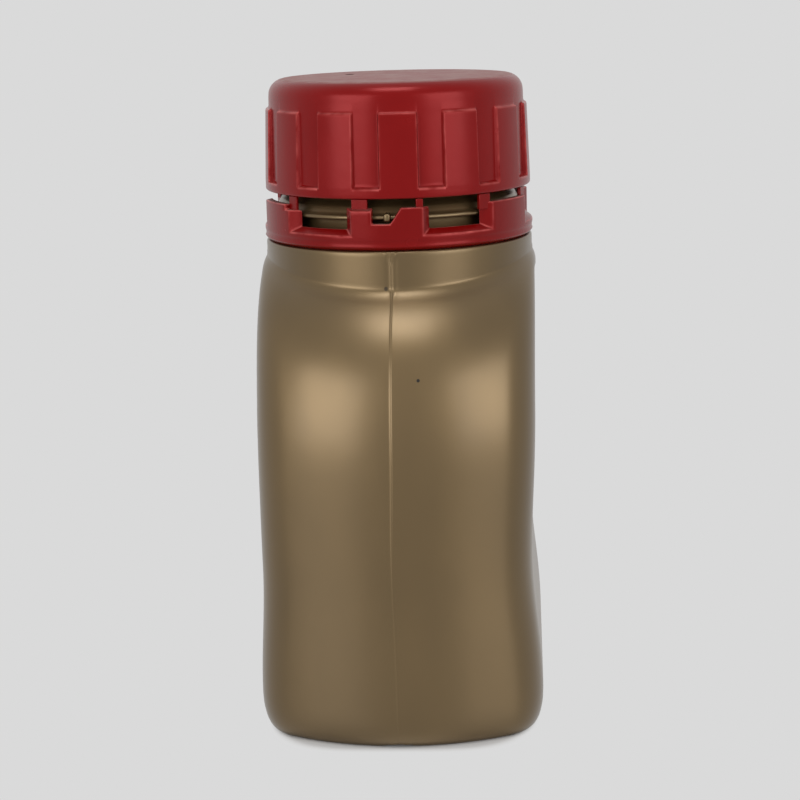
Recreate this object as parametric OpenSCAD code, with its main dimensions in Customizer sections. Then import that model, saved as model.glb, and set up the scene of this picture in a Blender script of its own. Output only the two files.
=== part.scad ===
// Blow-moulded oil bottle with a ribbed screw cap, a castellated tamper band and a sealing liner.
// Millimetres, +Z up. The origin is at the centre of the foot, on the surface it stands on.
// The narrow faces with the mould's parting line look along -Y and +Y, the wide faces along X.
// Azimuths on the closure run from -Y towards +X.

/* [Body] */
// Half thickness at the foot, the thickest place
foot_half_t = 21.9; // [21.6:0.1:23]
// Half thickness at the waist
waist_half_t = 20.8; // [20.2:0.1:21.6]
// Half thickness at the belly
belly_half_t = 21.2; // [20.8:0.1:22]
// Half thickness where the wide faces run into the collar
shoulder_half_t = 21.4; // [21.3:0.1:22]
// Half width of the wide faces at the foot
foot_half_w = 33.5; // [30:0.5:37]
// Half width of the wide faces at the waist and above it
waist_half_w = 32.8; // [30:0.2:36]
// Height of the thickest place of the foot
foot_z = 5.5; // [4:0.5:8]
// Height of the waist
waist_z = 26; // [20:1:32]
// Height of the belly, the thickest place above the waist
belly_z = 50; // [46:1:53]
// Height at which the narrow faces start to curve in
curve_z = 34; // [32:1:44]
// Height of the top of the wide faces, where their rounding ends
shoulder_z = 71.6; // [71:0.1:72]
// Height at which the curve of the narrow faces would close over the axis
apex_z = 72.2; // [71.8:0.1:73]
// Radius of the upright corners
corner_r = 9; // [7:0.5:12]
// Radius of the crowned narrow faces
face_r = 36; // [30:1:50]
// Distance that the foot draws in down to the surface it stands on
foot_inset = 2.6; // [2:0.1:3.2]
// Wall of the bottle
wall = 1.1; // [0.8:0.1:1.4]
// Height of the recess under the base
recess_h = 1.4; // [0.8:0.1:2]
// Width of the flat ring that the bottle stands on
ring_w = 3.4; // [2.5:0.1:4.5]
// Width of the notch in the ring at the parting line
notch_w = 5; // [3:0.5:7]
// Height of the notch in the ring at the parting line
notch_h = 0.6; // [0.4:0.1:1]

/* [Collar and neck] */
// Radius of the collar under the tamper band
collar_r = 21.05; // [20.8:0.05:21.1]
// Height of the collar's top, where the tamper band sits
collar_z = 74; // [73.5:0.1:76]
// Radius of the neck wall
neck_r = 17.4; // [17.2:0.1:17.6]
// Radius of the bead that holds the tamper band down
bead_r = 19.6; // [19.4:0.05:19.7]
// Radius of the bore
bore_r = 15.9; // [15:0.1:16.2]
// Height of the bead above the collar
bead_rise = 4.5; // [4:0.1:5]
// Height of the bead, whose top slopes so that the band snaps over it
bead_h = 3.2; // [2.6:0.1:3.4]
// Height of the bead's upright edge
bead_edge = 0.9; // [0.5:0.1:1.5]
// Clearance between the bead and the cap and band around it
bead_clear = 0.3; // [0.2:0.05:0.5]
// Width of a ratchet lug
lug_w = 1; // [0.8:0.1:2]
// Height of a ratchet lug
lug_h = 1; // [0.8:0.1:1.6]
// Azimuth of the ratchet lug beside the parting line
lug_turn = -1.4; // [-4:0.1:-1]

/* [Thread] */
// Rise of the thread in one turn
pitch = 4.2; // [3.8:0.1:4.6]
// Height of the thread above its wall
thread_h = 1.15; // [0.9:0.05:1.2]
// Turns of thread on the neck, and in the cap
thread_turns = 1.5; // [1:0.25:1.75]
// Width of the thread at its root
thread_root_w = 2; // [1.6:0.1:2.2]
// Width of the thread at its crest
thread_crest_w = 0.9; // [0.6:0.1:1.2]
// Clearance between the crest of one thread and the wall of the other
thread_clear = 0.35; // [0.25:0.05:0.45]
// Clearance between the flanks that bear on each other
flank_clear = 0.2; // [0.1:0.05:0.3]

/* [Screw cap] */
// Radius over the ribs at their foot
cap_r = 20.9; // [20.8:0.05:21.5]
// Height of the cap
cap_h = 17.1; // [16.5:0.1:18.5]
// Draft of the ribs, taken off the radius at their top
rib_draft = 0.4; // [0.1:0.1:0.5]
// Relief of the ribs at their foot
rib_relief = 0.7; // [0.5:0.1:0.8]
// Number of grip ribs
rib_count = 13; // [8:1:16]
// Width of a rib in degrees
rib_deg = 16.4; // [12:0.2:20]
// Height of the closed rim under the flutes
rim_h = 1.6; // [1.2:0.1:2.4]
// Distance from the rib tops to the top of the cap
rib_drop = 4.4; // [3.5:0.1:5.5]
// Radius of the rounded top edge
top_round = 1.1; // [0.8:0.1:1.4]
// Thickness of the cap's top
top_wall = 1.3; // [1:0.1:1.8]
// Turn of the cap, as the azimuth of one rib
cap_turn = 4; // [-13:1:13]

/* [Liner] */
// Thickness of the sealing liner
liner_t = 1; // [0.6:0.1:1.4]
// Clearance round the liner in the cap
liner_clear = 0.4; // [0.2:0.1:0.6]
// Clearance between the liner and the mouth
seat_clear = 0.05; // [0.02:0.01:0.1]

/* [Tamper band] */
// Radius of the band
band_r = 21.2; // [21.1:0.05:21.5]
// Height of the band
band_h = 6.5; // [6.1:0.1:7]
// Gap between the band and the cap
cap_gap = 1.3; // [1:0.1:1.6]
// Height of the window sills above the collar
sill_h = 3; // [2.8:0.1:3.4]
// Width of a window at the band's inner face, in degrees
window_deg = 25; // [18:0.5:26]
// Flare of a window's side outwards, next to a section with a ratchet notch, in degrees
near_flare = 2.2; // [1:0.1:4]
// Flare of a window's side outwards, next to a plain section, in degrees
far_flare = 5; // [1:0.1:6]
// Width of the two sections that carry a ratchet notch, in degrees
ratchet_deg = 34; // [28:0.5:36]
// Height of the ratchet notch's floor above the collar
notch_floor = 4.1; // [3.8:0.1:4.4]
// Turn of the band from the parting line
band_turn = -1.4; // [-2:0.1:2]
// Height of the inner hook that holds the band under the bead
hook_h = 2.6; // [2:0.1:2.9]
// Depth of the groove round the foot of the band
groove_depth = 0.15; // [0.1:0.05:0.3]
// Depth and height of the undercut that keeps the band's foot off the collar
undercut = 0.5; // [0.3:0.05:0.8]
// Clearance between the tops of the bridges and the cap
bridge_clear = 0.05; // [0.03:0.01:0.1]

/* [Hidden] */
$fn = 120;

// Overlap of pieces of one solid, and overrun of cuts
eps = 0.3;
over = 2;

// Heights that follow from the stack of collar, band, gap, cap and liner
band_top_z = collar_z + band_h;
cap_z = band_top_z + cap_gap;
top_z = cap_z + cap_h;
ceiling_z = top_z - top_wall;
liner_z = ceiling_z - liner_t;
mouth_z = liner_z - seat_clear;

// Radii that follow from the neck
crest_r = neck_r + thread_h;
cap_bore_r = crest_r + thread_clear;
cap_crest_r = neck_r + thread_clear;
skirt_r = bead_r + bead_clear;

// Steps of the body's rings
face_steps = 5;
corner_steps = 5;
side_steps = 2;

// Helper functions

function ease(a, b, u) = a + (b - a) * (1 - cos(180 * u)) / 2;

// Value at height z between stations, each an extreme of the outline
function along(z, zs, vs, i = 0) =
    z <= zs[0] ? vs[0]
    : i >= len(zs) - 1 ? vs[len(vs) - 1]
    : z <= zs[i + 1] ? ease(vs[i], vs[i + 1], (z - zs[i]) / (zs[i + 1] - zs[i]))
    : along(z, zs, vs, i + 1);

function steps(a, b, n) = [for (i = [0 : n - 1]) a + (b - a) * i / n];

// Quarter of the body's outline, from the middle of the narrow face to the middle of the wide face
function quarter(t, w, r, f) =
    let (
        reach = sqrt(pow(f - r, 2) - pow(t - r, 2)),
        y_corner = w - f + reach,
        turn = asin((t - r) / (f - r))
    )
    concat(
        [for (s = steps(0, turn, face_steps)) [f * sin(s), w - f + f * cos(s)]],
        [for (s = steps(turn, 90, corner_steps)) [t - r + r * sin(s), y_corner + r * cos(s)]],
        [for (y = steps(y_corner, 0, side_steps)) [t, y]]
    );

// Whole outline from its quarter, clockwise from above
function outline(t, w, r, f) =
    let (q = quarter(t, w, r, f), n = len(q))
    concat(
        q,
        [[t, 0]],
        [for (i = [n - 1 : -1 : 0]) [q[i][0], -q[i][1]]],
        [for (i = [1 : n - 1]) [-q[i][0], -q[i][1]]],
        [[-t, 0]],
        [for (i = [n - 1 : -1 : 1]) [-q[i][0], q[i][1]]]
    );

function ring(points, z) = [for (p = points) [p[0], p[1], z]];

// Closed skin through rings that run clockwise as seen from the far end
module skin(rings) {
    n = len(rings[0]);
    last = len(rings) - 1;
    sides = [
        for (j = [0 : last - 1], i = [0 : n - 1])
            let (a = j * n + i, b = j * n + (i + 1) % n)
            each [[a, b, b + n], [a, b + n, a + n]]
    ];
    foot = [[for (i = [n - 1 : -1 : 0]) i]];
    head = [[for (i = [0 : n - 1]) last * n + i]];
    polyhedron(points = [for (r = rings) each r], faces = concat(sides, foot, head));
}

// Body outlines

// How far the narrow faces have curved in at height z, from 0 at their foot to 1 at the apex
function curve_share(z) = min(max((z - curve_z) / (apex_z - curve_z), 0), 1);

// Half thickness of the wide faces, rounded over at the top of the shoulder
shoulder_round = 2.2;
function half_t(z) =
    let (
        t = along(z, [foot_z, waist_z, belly_z, shoulder_z - shoulder_round],
            [foot_half_t, waist_half_t, belly_half_t, shoulder_half_t]),
        rise = max(z - (shoulder_z - shoulder_round), 0)
    )
    t - shoulder_round + sqrt(max(pow(shoulder_round, 2) - pow(rise, 2), 0));

// Half width of the wide faces, with shoulders that curve in to the neck
curve_power = 2.78;
function half_w(z) =
    along(z, [foot_z, waist_z], [foot_half_w, waist_half_w])
    * pow(1 - pow(curve_share(z), curve_power), 1 / curve_power);

// The narrow faces crown a little more as they near the collar
shoulder_face_r = 30;
function face_at(z) = face_r + (shoulder_face_r - face_r) * pow(curve_share(z), 2);

// Outline of the body at height z, drawn in by a wall or by the foot's rounding
function body_outline(z, inset) =
    outline(half_t(z) - inset, half_w(z) - inset, corner_r - inset, face_at(z) - inset);

// How far the foot is drawn in at height z below its thickest place
function foot_draw(z) =
    let (u = min(max((foot_z - z) / foot_z, 0), 1))
    foot_inset * (1 - sqrt(1 - pow(u, 2) * 0.985));

foot_zs = [for (u = [0, 0.03, 0.1, 0.2, 0.35, 0.55, 0.8]) foot_z * u];
wall_zs = [for (i = [0 : 14]) foot_z + (belly_z - foot_z) * i / 14];
// The rings of the shoulder end inside the collar
loft_top_z = shoulder_z - 0.7;
shoulder_zs = [for (u = [0.14, 0.27, 0.38, 0.48, 0.57, 0.65, 0.72, 0.78, 0.84, 0.89, 0.93, 0.965, 1])
    belly_z + (loft_top_z - belly_z) * u];

module body_outer() {
    skin([
        ring(body_outline(foot_z, foot_draw(0)), -eps),
        for (z = concat(foot_zs, wall_zs, shoulder_zs)) ring(body_outline(max(z, foot_z), foot_draw(z)), z)
    ]);
}

// Floor of the inside, a wall above the recess
floor_z = recess_h + wall;
floor_zs = [for (u = [0, 0.12, 0.35, 0.7]) floor_z + foot_z * u];
inner_wall_zs = [for (i = [0 : 9]) floor_z + foot_z + (belly_z - floor_z - foot_z) * i / 9];
inner_shoulder_zs = [for (u = [0.2, 0.38, 0.54, 0.68, 0.8, 0.88])
    belly_z + (loft_top_z - belly_z) * u];

module body_inner() {
    skin([
        for (z = concat(floor_zs, inner_wall_zs, inner_shoulder_zs))
            let (lift = wall * curve_share(z))
            ring(body_outline(max(z + lift, foot_z), foot_draw(z - floor_z) + wall), z)
    ]);
}

// Closure helpers

// Piece of a ring, centred on an azimuth, with its section given as radius and height
module arc_piece(azimuth, degrees, points) {
    rotate([0, 0, azimuth - 90 - degrees / 2])
        rotate_extrude(angle = degrees)
            polygon(points);
}

// Section of a thread at an angle along its helix
function thread_ring(r_in, w_in, r_out, w_out, z, a) = [
    for (p = [[r_in, -w_in / 2], [r_out, -w_out / 2], [r_out, w_out / 2], [r_in, w_in / 2]])
        [p[0] * cos(a), p[0] * sin(a), z + p[1]]
];

// Angle between the thread's rings, and the angle over which its ends fade into the wall
thread_step = 10;
thread_fade = 30;
thread_deg = thread_turns * 360;
thread_angles = [for (i = [0 : thread_deg / thread_step]) i * thread_step];
function fade(a) = min(a / thread_fade, (thread_deg - a) / thread_fade, 1);

// Height of the neck thread's centre where it starts, so that it ends below the mouth
thread_lead = 2.2;
neck_thread_z = mouth_z - thread_lead - pitch * thread_turns;
// The cap's thread lies under the neck's, with the flanks a clearance apart
thread_offset = (thread_root_w + thread_crest_w) / 2 + flank_clear;
cap_thread_start = -90;

module neck_thread() {
    skin([
        for (a = thread_angles)
            thread_ring(neck_r - eps, thread_root_w,
                neck_r - eps / 2 + (thread_h + eps / 2) * fade(a), thread_crest_w,
                neck_thread_z + pitch * a / 360, a)
    ]);
}

module cap_thread() {
    skin([
        for (a = thread_angles)
            thread_ring(cap_bore_r + eps / 2 - (cap_bore_r + eps / 2 - cap_crest_r) * fade(a), thread_crest_w,
                cap_bore_r + eps, thread_root_w,
                neck_thread_z - thread_offset + pitch * (a + cap_thread_start) / 360, a + cap_thread_start)
    ]);
}

// Collar, neck, bead and the land at the mouth, as one turned outline
// The collar's root reaches down inside the shoulders, where its slopes meet their skin
root_h = 9;
root_inset = 3;
root_edge = 1;
outer_root_h = 3.5;
inner_root_h = 4;
root_gap = 0.3;
collar_foot_z = apex_z - root_h;
collar_round = 0.4;
bead_z = collar_z + bead_rise;
bead_top_z = bead_z + bead_h;
bead_root = 1.1;
throat = 0.6;
land_round = 0.5;

module neck_outer() {
    rotate_extrude()
        polygon([
            [0, collar_foot_z],
            [collar_r - root_inset, collar_foot_z],
            [collar_r - root_inset, collar_foot_z + root_edge],
            [collar_r, collar_foot_z + outer_root_h],
            [collar_r, collar_z - collar_round],
            [collar_r - collar_round, collar_z],
            [neck_r + throat, collar_z],
            [neck_r + throat, bead_z],
            [bead_r, bead_z],
            [bead_r, bead_z + bead_edge],
            [neck_r + bead_root, bead_top_z],
            [neck_r, bead_top_z + bead_root],
            [neck_r, mouth_z - land_round],
            [neck_r - land_round, mouth_z],
            [0, mouth_z]
        ]);
}

module neck_inner() {
    inner_r = collar_r - wall - root_gap;
    rotate_extrude()
        polygon([
            [0, collar_foot_z - root_edge],
            [inner_r - root_inset, collar_foot_z - root_edge],
            [inner_r, collar_foot_z + inner_root_h],
            [inner_r, collar_z - 2 * wall - root_edge],
            [bore_r, collar_z - wall],
            [bore_r, mouth_z + over],
            [0, mouth_z + over]
        ]);
}

// Lug that the band's ratchet notch catches on, once on each side
lug_inset = 0.5;
module ratchet_lugs() {
    for (side = [0, 180])
        rotate([0, 0, lug_turn + side])
            translate([-lug_w / 2, lug_inset - band_r, bead_z])
                cube([lug_w, band_r - lug_inset - neck_r, lug_h]);
}

// Notch that the parting line leaves across the foot ring
module ring_notch() {
    notch_r = (pow(notch_w / 2, 2) + pow(notch_h, 2)) / (2 * notch_h);
    translate([0, 0, notch_h - notch_r])
        rotate([90, 0, 0])
            cylinder(r = notch_r, h = 2 * (foot_half_w + over), center = true);
}

module base_recess() {
    translate([0, 0, -over])
        linear_extrude(recess_h + over)
            polygon(body_outline(foot_z, foot_draw(0) + ring_w));
}

module bottle() {
    color([0.44, 0.37, 0.25])
    difference() {
        union() {
            body_outer();
            neck_outer();
            neck_thread();
            ratchet_lugs();
        }
        body_inner();
        neck_inner();
        base_recess();
        ring_notch();
        translate([-foot_half_t - over, -foot_half_w - over, -2 * over])
            cube([2 * (foot_half_t + over), 2 * (foot_half_w + over), 2 * over]);
    }
}

// Screw cap

rib_top_z = top_z - rib_drop;
flute_r = cap_r - rib_relief;
crown_r = flute_r - rib_draft / 2;
rim_round = 0.25;

module cap_shell() {
    rotate_extrude()
        difference() {
            union() {
                polygon([
                    [0, cap_z],
                    [cap_r - rim_round, cap_z],
                    [cap_r, cap_z + rim_round],
                    [cap_r, cap_z + rim_h - 0.3],
                    [flute_r, cap_z + rim_h],
                    [crown_r, rib_top_z],
                    [crown_r - 0.05, top_z - top_round],
                    [crown_r - top_round, top_z - top_round],
                    [crown_r - top_round, top_z],
                    [0, top_z]
                ]);
                intersection() {
                    translate([crown_r - 0.05 - top_round, top_z - top_round])
                        circle(r = top_round);
                    translate([crown_r - 0.05 - top_round, top_z - top_round])
                        square(top_round);
                }
            }
            polygon([
                [0, cap_z - over],
                [skirt_r, cap_z - over],
                [skirt_r, cap_z + rim_h - 0.4],
                [cap_bore_r, cap_z + rim_h + 0.4],
                [cap_bore_r, ceiling_z],
                [0, ceiling_z]
            ]);
        }
}

module grip_ribs() {
    for (i = [0 : rib_count - 1])
        arc_piece(i * 360 / rib_count, rib_deg, [
            [flute_r - 2 * eps, cap_z + rim_h / 2],
            [cap_r - 0.05, cap_z + rim_h / 2],
            [cap_r - rib_draft, rib_top_z - 0.3],
            [cap_r - rib_draft - 0.3, rib_top_z],
            [flute_r - 2 * eps, rib_top_z]
        ]);
}

module screw_cap() {
    color([0.62, 0.13, 0.14])
    union() {
        rotate([0, 0, cap_turn]) {
            cap_shell();
            grip_ribs();
        }
        cap_thread();
    }
}

// Tamper band

// Bridges as azimuth and width in degrees, one half of the band
bridges = [[-45.8, 5], [-13.1, 2.5], [13.7, 3], [44, 4], [73.4, 5]];
bridge_t = 0.7;
bridge_inset = 0.1;
bridge_sink = 1;
band_edge = 0.25;
hook_reach = 0.8;
hook_lip = 0.4;
hook_r = bead_r - hook_reach;
// Heights on the band's outer face, above the collar
groove_foot = undercut + 0.2;
groove_z = undercut + 0.45;
groove_w = 0.4;

module band_ring() {
    rotate_extrude()
        polygon([
            [hook_r + hook_lip, collar_z],
            [band_r - 2 * undercut, collar_z],
            [band_r - band_edge, collar_z + undercut - band_edge / 2],
            [band_r, collar_z + groove_foot],
            [band_r - groove_depth, collar_z + groove_z],
            [band_r - groove_depth, collar_z + groove_z + groove_w],
            [band_r, collar_z + groove_z + 2 * groove_w],
            [band_r, band_top_z - band_edge],
            [band_r - band_edge, band_top_z],
            [skirt_r, band_top_z],
            [skirt_r, collar_z + hook_h + hook_lip],
            [hook_r, collar_z + hook_h],
            [hook_r, collar_z + hook_h - 2 * hook_lip]
        ]);
}

// Side of a window's cut in plan, from inside the band to outside it, flared by some degrees
function window_side(half_deg, flare) =
    let (
        inner = skirt_r * [sin(half_deg), -cos(half_deg)],
        outer = band_r * [sin(half_deg + flare), -cos(half_deg + flare)]
    )
    [2 * inner - outer, 2 * outer - inner];

// Window whose sill and sides slope outwards
sill_land = 0.3;
sill_slope = 0.9;
module band_window(azimuth, left_flare, right_flare) {
    sill_z = collar_z + sill_h;
    left = window_side(-window_deg / 2, -left_flare);
    right = window_side(window_deg / 2, right_flare);
    rotate([0, 0, azimuth])
        intersection() {
            rotate_extrude()
                polygon([
                    [skirt_r - eps, sill_z],
                    [skirt_r + sill_land, sill_z],
                    [band_r + eps, sill_z - sill_slope],
                    [band_r + eps, band_top_z + over],
                    [skirt_r - eps, band_top_z + over]
                ]);
            translate([0, 0, collar_z])
                linear_extrude(band_h + 2 * over)
                    polygon([left[0], right[0], right[1], left[1]]);
        }
}

// Notch with one upright wall, which catches on the lug, and one slope, which rides over it
notch_wall_x = -2.3;
notch_foot_x = lug_w / 2;
notch_slope = 0.7;
module ratchet_notch() {
    floor_z = collar_z + notch_floor;
    slope_x = notch_foot_x + (band_top_z - floor_z) * notch_slope;
    rotate([90, 0, 0])
        linear_extrude(band_r + over)
            polygon([
                [notch_wall_x, floor_z],
                [notch_foot_x, floor_z],
                [slope_x, band_top_z],
                [slope_x, band_top_z + over],
                [notch_wall_x, band_top_z + over]
            ]);
}

module band_bridges() {
    inner_r = skirt_r + bridge_inset;
    for (b = bridges)
        arc_piece(b[0], b[1], [
            [inner_r, band_top_z - bridge_sink],
            [inner_r + bridge_t, band_top_z - bridge_sink],
            [inner_r + bridge_t, cap_z - bridge_clear],
            [inner_r, cap_z - bridge_clear]
        ]);
}

module tamper_band() {
    window_step = (ratchet_deg + window_deg) / 2;
    color([0.56, 0.1, 0.11])
    rotate([0, 0, band_turn])
    union() {
        difference() {
            band_ring();
            for (side = [0, 180])
                rotate([0, 0, side]) {
                    band_window(-window_step, far_flare, near_flare);
                    band_window(window_step, near_flare, far_flare);
                    band_window(90, far_flare, far_flare);
                    ratchet_notch();
                }
        }
        for (side = [0, 180])
            rotate([0, 0, side])
                band_bridges();
    }
}

// Liner

module liner() {
    color([0.9, 0.9, 0.87])
    translate([0, 0, liner_z])
        cylinder(r = cap_bore_r - liner_clear, h = liner_t);
}

bottle();
screw_cap();
tamper_band();
liner();
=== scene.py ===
"""Dresses a blow-moulded oil bottle: pearly brown body, ribbed red cap and castellated tamper band.

Lengths are in millimetres and turned into metres when a mesh is made.
Azimuths are in degrees from -Y towards +X.
"""
import math

import bmesh
import bpy
import numpy as np
from mathutils import Matrix, Vector


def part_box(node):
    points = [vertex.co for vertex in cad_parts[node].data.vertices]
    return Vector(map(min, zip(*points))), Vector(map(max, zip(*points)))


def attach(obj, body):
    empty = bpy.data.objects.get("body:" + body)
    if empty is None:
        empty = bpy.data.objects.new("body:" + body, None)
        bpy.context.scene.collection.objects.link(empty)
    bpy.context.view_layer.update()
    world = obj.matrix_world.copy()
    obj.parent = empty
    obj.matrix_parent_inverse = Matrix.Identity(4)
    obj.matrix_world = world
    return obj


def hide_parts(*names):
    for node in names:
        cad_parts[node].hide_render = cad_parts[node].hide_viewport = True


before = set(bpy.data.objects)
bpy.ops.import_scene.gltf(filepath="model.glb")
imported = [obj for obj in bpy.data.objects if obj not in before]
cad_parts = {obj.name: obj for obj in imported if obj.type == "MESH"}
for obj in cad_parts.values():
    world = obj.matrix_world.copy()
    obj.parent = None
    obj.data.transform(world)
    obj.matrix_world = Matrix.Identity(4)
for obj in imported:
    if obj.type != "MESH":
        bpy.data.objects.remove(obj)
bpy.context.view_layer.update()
MM = 0.001

# Heights and half sizes read from the frame
BOTTLE_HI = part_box("bottle")[1]
CAP_LO, CAP_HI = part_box("screw_cap")
BAND_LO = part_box("tamper_band")[0]
MOUTH_Z = BOTTLE_HI.z / MM
CAP_Z = CAP_LO.z / MM
TOP_Z = CAP_HI.z / MM
COLLAR_Z = BAND_LO.z / MM
FOOT_HALF_T = BOTTLE_HI.x / MM
FOOT_HALF_W = BOTTLE_HI.y / MM
CAP_R = CAP_HI.x / MM

# Body
WAIST_HALF_T, BELLY_HALF_T, SHOULDER_HALF_T = 20.8, 21.2, 21.4
WAIST_HALF_W = 32.8
FOOT_Z, WAIST_Z, BELLY_Z, SHOULDER_Z = 5.5, 26, 50, 71.6
CURVE_Z, APEX_Z, CURVE_POWER = 34, 72.2, 2.78
SHOULDER_ROUND = 2.2
CORNER_R, FACE_R, SHOULDER_FACE_R = 9, 36, 30
FOOT_INSET, WALL, RECESS_H, RING_W = 1.9, 1.1, 1.4, 3.4
NOTCH_W, NOTCH_H = 5.4, 0.5
WAIST_LEAN = -0.35

# Collar, neck and thread
COLLAR_R, NECK_R, BEAD_R, BORE_R = 21.05, 17.4, 19.6, 15.9
BEAD_Z, BEAD_H, BEAD_EDGE, BEAD_SLOPE = COLLAR_Z + 4.5, 3.2, 0.9, 0.6
LIP_ROUND, CREASE_BLEND = 0.35, 1.5
PITCH, THREAD_H, THREAD_TURNS = 4.2, 1.15, 1.5
THREAD_ROOT, THREAD_CREST = 2.0, 0.9
NECK_THREAD_Z = MOUTH_Z - 2.2 - PITCH * THREAD_TURNS
THREAD_OFFSET = (THREAD_ROOT + THREAD_CREST) / 2 + 0.2
LUG_AZIMUTH, LUG_W, LUG_H = -1.4, 1.0, 1.0
LUG_DEPTH, LUG_MIDDLE_R, LUG_ROUND = 2.4, 19.5, 0.3

# Cap
RIB_COUNT, RIB_HALF_DEG, CAP_TURN = 13, 8.2, 4
RIB_DRAFT, RIB_RELIEF, RIM_H, RIB_DROP = 0.4, 0.7, 1.6, 4.4
TOP_ROUND, TOP_WALL = 2.5, 1.3
CAP_BORE_R, CAP_CREST_R, SKIRT_R = 18.9, 17.75, 19.9

# Tamper band
BAND_R, BAND_H, BAND_TURN = 21.2, 6.5, -1.4
SILL_H, SILL_SLOPE = 3.3, 1.0
WINDOW_DEG, RATCHET_DEG = 24, 36.5
NEAR_FLARE, FAR_FLARE = 3.4, 5.2
NOTCH_WALL, NOTCH_FOOT, NOTCH_SLOPE, NOTCH_FLOOR = -2.3, 0.5, 0.7, 4.1
GROOVE_DEPTH, UNDERCUT = 0.1, 0.7
STEP_DEG, STEP_H, TOP_SLOPE = 2.6, 0.8, 0.5
BRIDGES = [(-47.2, 5.4, 0), (-11.8, 7, 0), (13.7, 3, 0.25), (44, 6, 0.25), (73.4, 5, 0.2)]


def ease(a, b, u):
    """Half a cosine wave from a to b."""
    return a + (b - a) * (1 - np.cos(np.pi * np.clip(u, 0, 1))) / 2


def smooth(u):
    """Smooth step from 0 to 1."""
    u = np.clip(u, 0, 1)
    return u * u * (3 - 2 * u)


def along(z, stations, values):
    """Value at height z between stations, each an extreme of the outline."""
    out = np.full_like(z, float(values[0]))
    for z0, z1, a, b in zip(stations, stations[1:], values, values[1:]):
        out = np.where(z > z0, ease(a, b, (z - z0) / (z1 - z0)), out)
    return out


# Body outlines

def curve_share(z):
    return np.clip((z - CURVE_Z) / (APEX_Z - CURVE_Z), 0, 1)


def half_t(z):
    round_z = SHOULDER_Z - SHOULDER_ROUND
    stations = [FOOT_Z, WAIST_Z, BELLY_Z, round_z]
    t = along(z, stations, [FOOT_HALF_T, WAIST_HALF_T, BELLY_HALF_T, SHOULDER_HALF_T])
    rise = np.clip(z - round_z, 0, SHOULDER_ROUND)
    return t - SHOULDER_ROUND + np.sqrt(SHOULDER_ROUND**2 - rise**2)


def half_w(z):
    w = along(z, [FOOT_Z, WAIST_Z], [FOOT_HALF_W, WAIST_HALF_W])
    return w * (1 - curve_share(z) ** CURVE_POWER) ** (1 / CURVE_POWER)


def outline_radius(azimuth, z, inset):
    """Distance from the axis to the body's outline, with crowned faces, round corners and flat sides."""
    phi = np.radians(np.abs((azimuth + 90) % 180 - 90))
    s, c = np.sin(phi), np.cos(phi)
    t, w = half_t(z) - inset, half_w(z) - inset
    r = CORNER_R - inset
    f = FACE_R + (SHOULDER_FACE_R - FACE_R) * curve_share(z) ** 2 - inset
    reach = np.sqrt((f - r) ** 2 - (t - r) ** 2)
    y_corner = w - f + reach
    turn = np.arcsin((t - r) / (f - r))
    face_end = np.arctan2(f * np.sin(turn), w - f + f * np.cos(turn))
    corner_end = np.arctan2(t, y_corner)
    face = (w - f) * c + np.sqrt(np.maximum(f**2 - ((w - f) * s) ** 2, 0))
    dot = (t - r) * s + y_corner * c
    corner = dot + np.sqrt(np.maximum(dot**2 - (t - r) ** 2 - y_corner**2 + r**2, 0))
    side = t / np.maximum(s, 0.001)
    return np.where(phi <= face_end, face, np.where(phi <= corner_end, corner, side))


def foot_draw(z):
    """How far the foot is drawn in at height z below its thickest place."""
    u = np.clip((FOOT_Z - z) / FOOT_Z, 0, 1)
    return FOOT_INSET * (1 - np.sqrt(1 - u**2 * 0.985))


def body_radius(azimuth, z):
    return outline_radius(azimuth, np.maximum(z, FOOT_Z), foot_draw(z))


def smooth_max(a, b, k):
    """The larger of two radii, with a fillet where they cross."""
    h = np.maximum(k - np.abs(a - b), 0) / k
    return np.maximum(a, b) + h * h * k / 4


def crease_height(azimuth):
    """Height at which the body has come in to the collar, found by halving."""
    low, high = np.full_like(azimuth, 55.0), np.full_like(azimuth, 71.3)
    for _ in range(30):
        mid = (low + high) / 2
        outside = body_radius(azimuth, mid) > COLLAR_R
        low, high = np.where(outside, mid, low), np.where(outside, high, mid)
    return low


def thread_rise(azimuth, z, start_z, start_deg):
    """Height of a thread's ridge above its wall, from 0 to 1."""
    base = (azimuth - 90 - start_deg) % 360
    rise = np.zeros(np.broadcast(azimuth, z).shape)
    for turn in range(2):
        a = base + 360 * turn
        centre = start_z + PITCH * (a + start_deg) / 360
        slope = (THREAD_ROOT - THREAD_CREST) / 2
        ridge = np.clip((THREAD_ROOT / 2 - np.abs(z - centre)) / slope, 0, 1)
        fade = np.clip(np.minimum(a, THREAD_TURNS * 360 - a) / 30, 0, 1)
        rise = np.maximum(rise, smooth(ridge) * fade)
    return rise


# Mesh helpers

def polar_mesh(name, azimuths, radii, heights, lean=None):
    """Closed piece from rows of points round the axis, with one pole at each end."""
    rows, cols = radii.shape
    phi = np.radians(azimuths)
    x, y = radii * np.sin(phi), -radii * np.cos(phi)
    if lean is not None:
        x = x + lean(heights)
    points = np.stack([x, y, np.broadcast_to(heights, radii.shape)], axis=2).reshape(-1, 3) * MM
    poles = [[0, 0, heights[0].mean() * MM], [0, 0, heights[-1].mean() * MM]]
    verts = np.vstack([points, poles])
    first_pole, last_pole = rows * cols, rows * cols + 1
    faces = []
    for j in range(rows - 1):
        a, b = j * cols, (j + 1) * cols
        for i in range(cols):
            k = (i + 1) % cols
            faces.append((a + i, a + k, b + k, b + i))
    for i in range(cols):
        k = (i + 1) % cols
        faces.append((first_pole, k, i))
        last = (rows - 1) * cols
        faces.append((last_pole, last + i, last + k))
    return new_piece(name, verts, faces)


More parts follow.
